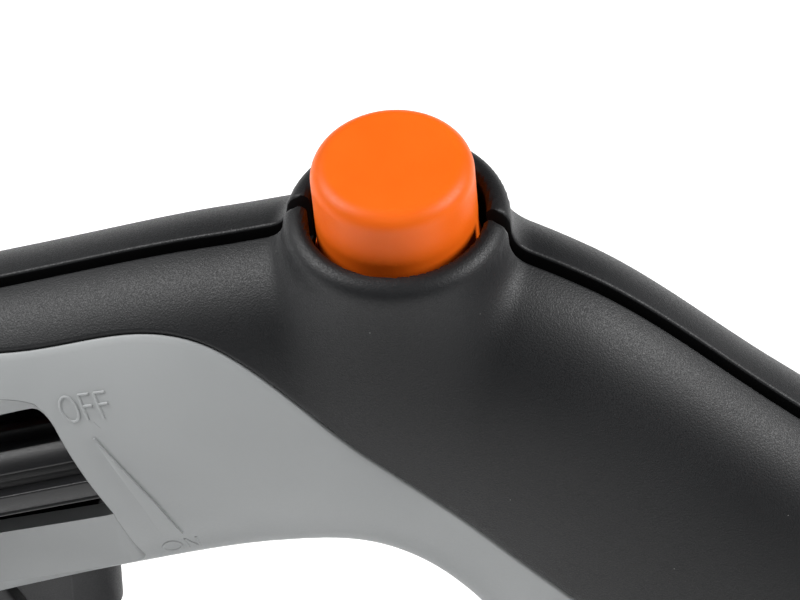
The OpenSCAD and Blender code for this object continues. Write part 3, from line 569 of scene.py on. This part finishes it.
# %% One half of the shell
SKIN_POINTS = 66
SEAM_LIP = 0.4
COLLAR_FROM, COLLAR_TO = 3.1, 6.9


def seam_points(s, start):
    """Rounded lip of the seam and its wall, from the bottom of the groove up."""
    inward = np.array([s[2] - s[0], 0, s[3] - s[1]])
    inward = inward / np.linalg.norm(inward)
    rows = []
    for depth in (3.2, 1.6):
        rows.append(start + inward * depth)
    for turn in np.linspace(0, 90, 6)[:-1]:
        out = SEAM_LIP * (1 - math.cos(math.radians(turn)))
        down = SEAM_LIP * (1 - math.sin(math.radians(turn)))
        rows.append(start + inward * down + np.array([0, out, 0]))
    rows = np.array(rows)
    rows[:, 1] = np.where(np.arange(len(rows)) < 3, SEAM, rows[:, 1] - start[1] + SEAM)
    return rows


def half_section(t):
    s = blend_rows(RING, np.array([t]), True)[0]
    b = edge_angle(s, t)
    bed = BED if PANEL_FROM < t < PANEL_TO else 0.0
    first = math.degrees(math.acos(((SEAM + SEAM_LIP) / s[4]) ** (s[5] / 2)))
    spread = np.linspace(0, 1, SKIN_POINTS) ** 1.25
    skin = ring_point(s, first + (b + 1.2 - first) * spread, 0)
    if COLLAR_FROM < t < COLLAR_TO:
        skin = raise_collar(s, skin)
    seam = seam_points(s, skin[0])
    edge = np.array([ring_point(s, b + a, o) for a, o in ((0.6, 0.08), (0.15, 0.3), (0, 0.6))])
    if bed == 0:
        edge = ring_point(s, np.array([b + 0.6, b + 0.15, b]), 0)
    floor = ring_point(s, np.linspace(b, -90, 16), bed)
    inner = ring_point(s, np.linspace(-90, 90, 26), WALL)
    inner[:, 1] = np.maximum(inner[:, 1], SEAM)
    floor[:, 1] = np.maximum(floor[:, 1], SEAM)
    edge[:, 1] = np.maximum(edge[:, 1], SEAM)
    skin[:, 1] = np.maximum(skin[:, 1], SEAM)
    return np.concatenate([seam, skin, edge, floor, inner, seam[:1]])


def shell_half(name, sign):
    rows = np.array([half_section(t) for t in ring_steps()])
    rows = np.concatenate([rows, rows[:1]])
    rows[..., 1] *= sign
    return sheet(name, rows)


# %% [markdown]
# The window over the roller is drawn from the side, as an outer rim on the panel's skin and
# an inner edge further in. The shell and the panel are both cut to it.

# %% Side outlines shared by the shell and the panel
WINDOW = [(-40.4, -39.8), (-43.2, -37.6), (-47.7, -38.4), (-58, -43), (-78, -53), (-81, -58),
          (-76, -80), (-70, -81.5), (-50, -74.8), (-32.4, -69.6), (-30, -65), (-33.1, -53)]
LOOKOUT = [(-42.3, -40.8), (-43.8, -39.9), (-47.5, -41.7), (-57, -46.8), (-76, -56.5),
           (-79.6, -60), (-77, -76.5), (-70, -75.4), (-50, -66.5), (-35.4, -59.9),
           (-34.2, -58.6), (-36.8, -51)]


def smooth_loop(outline, steps):
    """Closed curve through the outline's points, its corners softly rounded."""
    rows = np.array(outline, float)
    t = np.linspace(0, len(rows), steps * len(rows), endpoint=False)
    i = np.floor(t).astype(int)
    f = (t - i)[:, None]
    straight = rows[i % len(rows)] * (1 - f) + rows[(i + 1) % len(rows)] * f
    curved = blend_rows(rows, t, True)
    return straight * 0.55 + curved * 0.45 + np.array([BX, BZ])


def grown(loop, amount):
    """The loop, moved outwards by amount."""
    ahead = np.roll(loop, -1, axis=0) - np.roll(loop, 1, axis=0)
    normal = np.stack([ahead[:, 1], -ahead[:, 0]], 1)
    normal = normal / np.linalg.norm(normal, axis=1)[:, None]
    centre = loop.mean(axis=0)
    if ((loop - centre) * normal).sum() < 0:
        normal = -normal
    return loop + normal * amount


window_loop = smooth_loop(WINDOW, 14)
lookout_loop = smooth_loop(LOOKOUT, 14)
print(len(window_loop), "points round the window")

# %% [markdown]
# The grip, the button and the front handle each have axes of their own, so that cuts and
# moving pieces are measured along them. The cutters make the bore, the bays and the vents.

# %% Frames of the grip, the button and the front handle
GRIP_ORIGIN = Vector((BX - 38.9, 0, BZ - 52.7)) * MM
SLOPE = math.radians(26)
at_grip = Matrix.Translation(GRIP_ORIGIN) @ Matrix.Rotation(-SLOPE, 4, "Y")
at_button = Matrix.Translation(BUTTON_TOP) @ Matrix.Rotation(-LEAN, 4, "Y")
at_bail = Matrix.Translation((-0.104, 0, 0.092)) @ Matrix.Rotation(math.radians(-12), 4, "Y")
POSTS = [(-454, 98, 26), (-436, 72, 33.5), (-202, 92, 32.6), (-176, 108, 31.5),
         (-76, 88, 22), (-212, 42, 18.5), (-320, 44, 13), (-420, 119, 20)]


def rounded_block(name, low, high, radius, matrix=None):
    piece = block(name, low, high, matrix)
    step = piece.modifiers.new("round", "BEVEL")
    step.width = radius * MM
    step.segments = 4
    apply_modifiers(piece)
    return piece


PIN_HOLE = np.array([-303.9, -11.7, 185.5])
PIN_OUT = np.array([0.02, -0.72, 0.69])


def shell_cutters(sign):
    tools = [
        block("slot", (-58, -7, -44), (-4.5, 7, -12), at_grip),
        block("foot", (-490, -60, -5), (-386, 60, 50.6)),
        block("rails", (-474.4, -31.4, 40), (-395.6, 31.4, 58.6)),
        rounded_block("gear_bay", (-156.4, -36.4, -15), (-16, 36.4, 61.4), 5),
        rod("bore", BORE, (0, 0, -30), (0, 0, 10), 128, at_button),
        rod("bolt_hole", 3.1, (0, -60, 0), (0, 60, 0), 24, at_bail),
    ]
    for i in range(6):
        tools.append(rounded_block("vent", (-140 + i * 10, -60, 103), (-136 + i * 10, 60, 113), 1.9))
    for i in range(4):
        tools.append(rounded_block("vent", (-92 + i * 8, -60, 66), (-88.5 + i * 8, 60, 77), 1.7))
    if sign > 0:
        for x, z, wall in POSTS:
            tools.append(rod("screw_bore", 4, (x, wall - 6, z), (x, 60, z), 32))
    else:
        tools.append(prism("window", grown(window_loop, 1.6), -40, -2))
        tools.append(rod("pin_hole", 0.42, PIN_HOLE + 3 * PIN_OUT, PIN_HOLE - 3 * PIN_OUT, 20))
    return tools


def half_tube(name, sign, radius, bore, low, high):
    """Half of a sleeve round the button's bore, on one side of the seam."""
    start = math.asin(SEAM / radius)
    turns = np.linspace(start, math.pi - start, 40)
    rows = []
    for a in turns:
        rows.append([[r * math.cos(a), sign * max(SEAM, r * math.sin(a)), z] for r, z in
                     ((bore, low), (radius, low), (radius, high), (bore, high), (bore, low))])
    piece = sheet(name, np.array(rows), outward=False)
    close_ends(piece)
    place(piece, at_button)
    return piece


def make_shell(name, sign):
    shell = shell_half(name, sign)
    posts = [rod("post", 6.2, (x, sign * SEAM, z), (x, sign * (wall - 1), z), 24)
             for x, z, wall in POSTS]
    cut(shell, posts, "UNION")
    cut(shell, shell_cutters(sign))
    round_bore(shell)
    sleeve = half_tube("sleeve", sign, 12.6, BORE, -24, -16)
    return join(shell, sleeve)


def pin_hole_rim():
    select_only()
    turn = Vector(PIN_OUT).to_track_quat("Z", "Y").to_euler()
    bpy.ops.mesh.primitive_torus_add(location=Vector(PIN_HOLE) * MM, rotation=turn,
                                     major_radius=0.52 * MM, minor_radius=0.13 * MM,
                                     major_segments=28, minor_segments=10)
    return take("pin_hole_rim")


housing_right = make_shell("housing_right_shell", -1)
join(housing_right, pin_hole_rim())
housing_left = make_shell("housing_left_shell", 1)
print("shells made")

# %% [markdown]
# A tongue on the left shell closes the seam from inside, deep enough to leave a dark groove.
# The seam walls and the faces behind the window get a darker, duller black than the soft coat:
# painted shade.

# %% Tongue and painted shade on inner faces


def tongue_strip(name, angle, off):
    rows = []
    for t in ring_steps():
        s = blend_rows(RING, np.array([t]), True)[0]
        p, q = (ring_point(s, angle, off + step) for step in (0, 1.4))
        rows.append([[p[0], -0.85, p[2]], [p[0], 1.6, p[2]], [q[0], 1.6, q[2]],
                     [q[0], -0.85, q[2]], [p[0], -0.85, p[2]]])
    rows = np.array(rows + rows[:1])
    piece = sheet(name, rows)
    cut(piece, [rod("bore", BORE, (0, 0, -30), (0, 0, 10), 96, at_button),
                block("slot", (-58, -7, -44), (-4.5, 7, -12), at_grip),
                block("foot", (-490, -60, -5), (-386, 60, 50.6)),
                block("gear_bay", (-156.4, -36.4, -5), (-16, 36.4, 61.4))])
    return piece


join(housing_left, tongue_strip("tongue_top", 90, 3.0), tongue_strip("tongue_under", -90, 2.9))
finish(housing_left, black_soft, "black_shell", "frame", "housing_left")
finish(housing_right, black_soft, "black_shell", "frame", "housing_right")


def darken_inside(piece):
    """Painted shade: a darker, duller black on the seam walls and behind the window, and a plain
    wall in the bore.
    """
    piece.data.materials.append(shade_painted_black)
    for face in piece.data.polygons:
        x, y, z = face.center / MM
        across = (z - BZ + 52.7) * math.cos(SLOPE) - (x - BX + 38.9) * math.sin(SLOPE)
        behind = -388 < x < -332 and abs(across) < 13 and -12.9 < y < 0
        # painted shade mask: the seam walls and the faces behind the window
        if abs(y) < SEAM + 0.02 or behind:
            face.material_index = 1
        radius, _, height = button_polar(np.array([[x, y, z]]))
        if radius[0] < BORE + 0.04 and height[0] > -30:
            face.use_smooth = False


for half in (housing_left, housing_right):
    darken_inside(half)
    # counts the faces given painted shade
    print(half.name, sum(f.material_index for f in half.data.polygons), "shade-painted faces")

# %% [markdown]
# The grey panels lie in a bed in the black shells. The right one has the window of the
# speed roller, with a scooped sill below it, and raised marks beside it.

# %% Panels


def panel_section(t):
    s = blend_rows(RING, np.array([t]), True)[0]
    b = edge_angle(s, t) - 0.35
    b = max(b, -89.5)
    skin = ring_point(s, np.linspace(b - 1.0, -90, 56), 0.03)
    lip = np.array([ring_point(s, b - a, o) for a, o in ((0, 0.55), (0.15, 0.25), (0.55, 0.08))])
    inner = ring_point(s, np.linspace(-90, b, 24), PANEL)
    rows = np.concatenate([lip, skin, inner, lip[:1]])
    rows[:, 1] = np.maximum(rows[:, 1], 0.15)
    return rows


def panel_blank(name, sign):
    t = ring_steps()
    t = t[(t >= PANEL_FROM - 1e-6) & (t <= PANEL_TO + 1e-6)]
    rows = np.array([panel_section(v) for v in t])
    rows[..., 1] *= sign
    piece = sheet(name, rows)
    close_ends(piece)
    return piece


grip_sections = blend_rows(RING, np.arange(0.9, 6.5, 0.01), True)


def side_depth(x, z, off=0.0):
    """How far out the ring's skin is at a side position x, z."""
    outer, inner = grip_sections[:, :2], grip_sections[:, 2:4]
    middle, half = (outer + inner) / 2, (outer - inner) / 2
    cross = (x - middle[:, 0]) * half[:, 1] - (z - middle[:, 1]) * half[:, 0]
    cross = cross / np.hypot(half[:, 0], half[:, 1])
    change = np.where(np.sign(cross[1:]) != np.sign(cross[:-1]))[0]
    if not len(change):
        return 0.0
    i = change[0]
    share = cross[i] / (cross[i] - cross[i + 1])
    s = grip_sections[i] * (1 - share) + grip_sections[i + 1] * share
    half = (s[:2] - s[2:4]) / 2
    length = np.hypot(*half)
    u = ((x - (s[0] + s[2]) / 2) * half[0] + (z - (s[1] + s[3]) / 2) * half[1]) / length
    u = min(0.999, abs(u) / (length - off))
    return (1 - u ** s[5]) ** (1 / s[5]) * (s[4] - off)


def surface_path(points, off=0.0):
    return np.array([[x, -side_depth(x, z) - off, z] for x, z in points])


def window_dish():
    """Soft rim of the window, its scooped sill and the wall down to the roller."""
    outer = surface_path(window_loop)
    inner = np.stack([lookout_loop[:, 0], np.full(len(lookout_loop), -12.7),
                      lookout_loop[:, 1]], -1)
    drop = np.linalg.norm(outer[:, [0, 2]] - inner[:, [0, 2]], axis=1)
    wide = np.clip((drop - 2) / 8, 0, 1)[:, None]
    rows = []
    for f in np.linspace(0, 1, 14):
        deep = math.sin(f * math.pi / 2) ** 0.8
        row = outer + (inner - outer) * np.array([f, 0, f])
        row[:, 1] = outer[:, 1] + (inner[:, 1] - outer[:, 1]) * (deep * (1 - wide[:, 0])
                                                               + f * wide[:, 0])
        rows.append(row)
    wall = inner.copy()
    wall[:, 1] = -10.4
    rows.append(wall)
    rows = np.array(rows)
    rows = np.concatenate([rows, rows[:, :1]], axis=1)
    return sheet("dish", rows, outward=False)


grip_panel_left = panel_blank("grip_panel_left_skin", 1)
cut(grip_panel_left, [block("slot", (-58, -7, -44), (-4.5, 7, -12), at_grip)])
finish(grip_panel_left, grey_satin, "grey_panel", "frame", "grip_panel_left")
grip_panel_right = panel_blank("grip_panel_right_skin", -1)
cut(grip_panel_right, [prism("window", window_loop, -40, -8),
                       block("slot", (-58, -7, -44), (-4.5, 7, -12), at_grip)])
dish = window_dish()
print("panels cut")

# %% [markdown]
# The words OFF and ON and the wedge between them stand a little proud of the panel. Each
# stroke of a letter is a thin round bead that follows the skin.

# %% Raised marks


def stroke(name, points, radius=0.17, sink=0.05):
    """A raised line through side positions x, z."""
    rows = []
    points = np.array(points, float)
    path = surface_path(points, -sink)
    ahead = np.gradient(path, axis=0)
    ahead = ahead / np.linalg.norm(ahead, axis=1)[:, None]
    out = np.array([0, -1, 0.25])
    across = np.cross(ahead, out)
    across = across / np.linalg.norm(across, axis=1)[:, None]
    rise = np.cross(across, ahead)
    for turn in np.linspace(0, 2 * math.pi, 9):
        rows.append(path + radius * (across * math.cos(turn) + rise * math.sin(turn)))
    piece = sheet(name, np.array(rows), outward=False)
    close_ends(piece)
    return piece


def line(a, b, steps=8):
    return [(a[0] + (b[0] - a[0]) * i / steps, a[1] + (b[1] - a[1]) * i / steps)
            for i in range(steps + 1)]


LETTERS = {
    "O": [[(0.5 + 0.52 * math.cos(a), 0.5 + 0.5 * math.sin(a))
           for a in np.linspace(0, 2 * math.pi, 25)]],
    "F": [line((0.38, 0), (0.38, 1)), line((0.38, 1), (1.06, 1)), line((0.38, 0.55), (1, 0.55))],
    "N": [line((0.35, 0), (0.35, 1)), line((0.35, 1), (1, 0)), line((1, 0), (1, 1))],
}


def word(text, corner, along, tall, radius):
    """Letters in a slanted box: its lower left corner, its width and its height as steps."""
    made = []
    for number, letter in enumerate(text):
        for path in LETTERS[letter]:
            points = []
            for u, v in path:
                u = (number + u) / len(text)
                points.append((corner[0] + along[0] * u + tall[0] * v,
                               corner[1] + along[1] * u + tall[1] * v))
            made.append(stroke("letter", points, radius))
    return made


def wedge_mark():
    """Long raised wedge that swells towards its wide end."""
    rows = []
    steps = np.linspace(0, 3.999, 40)
    left = blend_rows(np.array([(-340.2, 163.1), (-337.9, 159.7), (-335.7, 155.7),
                                (-333.6, 151.0), (-331.8, 144.7)]), steps, False)
    other = blend_rows(np.array([(-340.1, 163.1), (-337.3, 160.0), (-334.5, 156.4),
                                 (-331.8, 152.0), (-329.4, 146.2)]), steps, False)
    for near, far in zip(left, other):
        row = []
        for g, lift in ((0, -0.3), (0, 0.2), (0.25, 0.28), (0.75, 0.3), (1, 0.28), (1, -0.3)):
            x, z = near + (far - near) * g
            row.append([x + 0.1 * (g - 0.5), -side_depth(x, z) - lift, z])
        row.append(row[0])
        rows.append(row)
    piece = sheet("wedge", np.array(rows), outward=False)
    close_ends(piece)
    return piece


marks = word("OFF", (-343.75, 164.3), (6.15, 2.6), (-1.5, 2.75), 0.2)
marks += word("ON", (-332.25, 138.9), (4.6, 2.4), (-0.2, 3.6), 0.17)
marks.append(stroke("tick", line((-340.2, 165.3), (-339.3, 164.7)), 0.07))
join(grip_panel_right, dish, wedge_mark(), *marks)
finish(grip_panel_right, grey_satin, "grey_panel", "frame", "grip_panel_right", angle=38)

# %% [markdown]
# The lock button is a round thumb button. A cylinder gets a soft rim from a bevel of its
# top edge, so that the light runs round it as on a moulded cap.

# %% Lock button


def rim_bevel(piece, height, radius, segments, tolerance=0.05):
    """Rounds the edges that lie at one height."""
    build = bmesh.new()
    build.from_mesh(piece.data)
    edges = [e for e in build.edges
             if all(abs(v.co.z - height * MM) < tolerance * MM for v in e.verts)]
    bmesh.ops.bevel(build, geom=edges, offset=radius * MM, segments=segments, profile=0.5,
                    affect="EDGES")
    build.to_mesh(piece.data)
    build.free()


button = rod("lock_button_cap", 10, (0, 0, -19), (0, 0, 0), 160)
rim_bevel(button, 0, 2.3, 14)
stem = rod("stem", 3, (0, 0, -33), (0, 0, -18.5), 40)
skirt = rod("skirt", 10.35, (0, 0, -19), (0, 0, -14.2), 128)
rim_bevel(skirt, -14.2, 0.3, 3)
join(button, stem, skirt)
place(button, at_button)
finish(button, orange, "orange_plastic", "lock_button", "lock_button", angle=50)

# %% [markdown]
# The speed roller has six flat ribs with slightly rounded shoulders. A circle is given the
# ribbed outline by a formula and then drawn out along the shaft.

# %% Speed roller
ROLLER_R, ROLLER_Y, ROLLER_N = 6.0, -10.5, 1.6


def ribbed_radius(angle):
    """Outer radius of the ribbed roller at an angle, with slightly rounded shoulders."""
    first = math.radians(54)
    near = np.abs((angle - first + math.pi / 6) % (math.pi / 3) - math.pi / 6) * ROLLER_R
    shoulder = 0.28
    past = np.clip((near - (1.66 - shoulder)) / shoulder, 0, 1)
    crown = 0.04 * (near / 1.66) ** 2
    wall = 1.3 * np.clip((near - 1.66) / 0.16, 0, 1)
    return ROLLER_R - crown - shoulder * (1 - np.sqrt(1 - past ** 2)) - wall


def roller_body():
    angles = np.linspace(0, 2 * math.pi, 601)
    rows = []
    for x, shrink in ((-35.8, 0.45), (-35.6, 0.12), (-35.2, 0), (5.2, 0), (5.6, 0.12), (5.8, 0.45)):
        r = ribbed_radius(angles) - shrink
        rows.append(np.stack([np.full_like(r, x), ROLLER_Y - r * np.cos(angles),
                              ROLLER_N + r * np.sin(angles)], -1))
    piece = sheet("speed_roller_ribs", np.array(rows), outward=False)
    close_ends(piece)
    place(piece, at_grip)
    return piece


roller = roller_body()
finish(roller, roller_plastic, "roller_black", "speed_roller", "speed_roller", angle=24)

# %% [markdown]
# The trigger is its side outline, stood up and rounded, then trimmed by a plan outline that
# makes its front round from side to side.

# %% Trigger


def trigger_lever():
    outline = [(-56, -20), (-56, -28), (-53, -34), (-48, -37), (-42, -37.5), (-34, -35.5),
               (-28, -34.5), (-26.9, -34.6), (-26.9, -21), (-25.2, -21), (-25.2, -34.9),
               (-18, -37), (-13.5, -38.5), (-10.5, -36), (-9.2, -30), (-8.2, -24), (-7.6, -15),
               (-16, -13.5), (-24, -18), (-44, -19)]
    return prism("trigger_lever", outline, -6.5, 6.5)


def trigger_nose():
    """Plan outline of the trigger: its front is rounded from side to side."""
    curve = [(-342.3 - 0.125 * y * y, y) for y in np.linspace(-6.6, 6.6, 31)]
    return [(x, y) for x, y in curve] + [(-420, 6.6), (-420, -6.6)]


trigger = trigger_lever()
step = trigger.modifiers.new("round", "BEVEL")
step.width = 1.1 * MM
step.segments = 4
step.limit_method = "ANGLE"
step.angle_limit = math.radians(50)
apply_modifiers(trigger)
place(trigger, at_grip)
nose = prism("nose", trigger_nose(), -150, -90)
place(nose, Matrix.Rotation(math.radians(-90), 4, "X"))
cut(trigger, [nose], "INTERSECT")
finish(trigger, trigger_plastic, "trigger_grey", "trigger", "trigger", angle=40)

# %% [markdown]
# The other visible pieces are straight moulded or machined shapes. Each is a copy of its
# own plain solid: its flat faces are joined up again and its edges get a small radius, as
# every real moulding has.

# %% Pieces dressed from their own solids


def dressed(node, radius, segments=3, angle=30):
    source = frame["nodes"][node]
    mesh = source.data.copy()
    piece = bpy.data.objects.new(node + "_dressed", mesh)
    bpy.context.scene.collection.objects.link(piece)
    for key in list(mesh.attributes.keys()):
        if key in ("sharp_face", "sharp_edge", "custom_normal"):
            mesh.attributes.remove(mesh.attributes[key])
    select_only(piece)
    bpy.ops.object.mode_set(mode="EDIT")
    bpy.ops.mesh.select_all(action="SELECT")
    bpy.ops.mesh.remove_doubles(threshold=0.003 * MM)
    bpy.ops.mesh.dissolve_limited(angle_limit=math.radians(1.0))
    bpy.ops.object.mode_set(mode="OBJECT")
    step = piece.modifiers.new("round", "BEVEL")
    step.width = radius * MM
    step.segments = segments
    step.limit_method = "ANGLE"
    step.angle_limit = math.radians(angle)
    step.use_clamp_overlap = True
    step.harden_normals = False
    apply_modifiers(piece)
    return piece


body_of = {node: body for body, nodes in frame["record"]["behaviour"]["bodies"].items()
           for node in nodes}
DRESS = {
    "battery_case": 1.2, "battery_foot": 0.8, "battery_latch": 0.7, "base_plate": 1.0,
    "gear_case": 1.0, "hand_guard": 0.9, "tip_guard": 0.9, "switch_bar": 0.9,
    "bail_handle": 0.6, "bail_grip": 0.8, "guide_bar": 0.3, "blade_upper": 0.25,
    "blade_lower": 0.25,
}
for node, radius in DRESS.items():
    slot = slots[node]
    finish(dressed(node, radius), FINISH_OF[slot], slot, body_of[node], node)

# %% [markdown]
# Pieces that show as plain machined or wound parts keep their solids, and take a finish.

# %% Finishes for the solids that stay
for node, cad in frame["nodes"].items():
    slot = slots[node]
    cad.data.materials.clear()
    cad.data.materials.append(FINISH_OF[slot])
print("finished", len(frame["nodes"]), "solids")

# %% [markdown]
# A pale floor and soft boxes to the left and right light the upper faces from both sides
# and leave the faces towards the camera dark, as black mouldings look in a studio.

# %% Floor and light
select_only()
bpy.ops.mesh.primitive_plane_add(size=14, location=(0, 0, -0.0005))
floor = take("floor")
pale = Finish("pale_floor", (0.9, 0.9, 0.9), 0.9)
pale.shader.inputs["Emission Color"].default_value = (1, 1, 1, 1)
pale.shader.inputs["Emission Strength"].default_value = 0.3
pale.bump(pale.noise(40, 2), 0.02)
floor.data.materials.append(pale.material)
print("floor", tuple(floor.dimensions))


GRIP_AT = (-0.305, 0, 0.18)


def softbox(name, place_at, size, power):
    bpy.ops.object.light_add(type="AREA", location=place_at)
    lamp = bpy.context.object
    lamp.name = name
    lamp.rotation_euler = (Vector(GRIP_AT) - Vector(place_at)).to_track_quat("-Z", "Y").to_euler()
    lamp.data.shape = "RECTANGLE"
    lamp.data.size, lamp.data.size_y = size
    lamp.data.energy = power


softbox("left_box", (-1.48, 0.04, 1.18), (0.85, 0.9), 29)
softbox("right_box", (0.9, 0.1, 1.0), (0.9, 0.8), 30)
softbox("front_box", (-0.35, -1.5, 2.0), (1.0, 0.8), 3)
world = bpy.data.worlds.new("studio")
world.use_nodes = True
world.node_tree.nodes["Background"].inputs["Color"].default_value = (1, 1, 1, 1)
world.node_tree.nodes["Background"].inputs["Strength"].default_value = 0.02
bpy.context.scene.world = world
bpy.context.scene.view_settings.view_transform = "Standard"
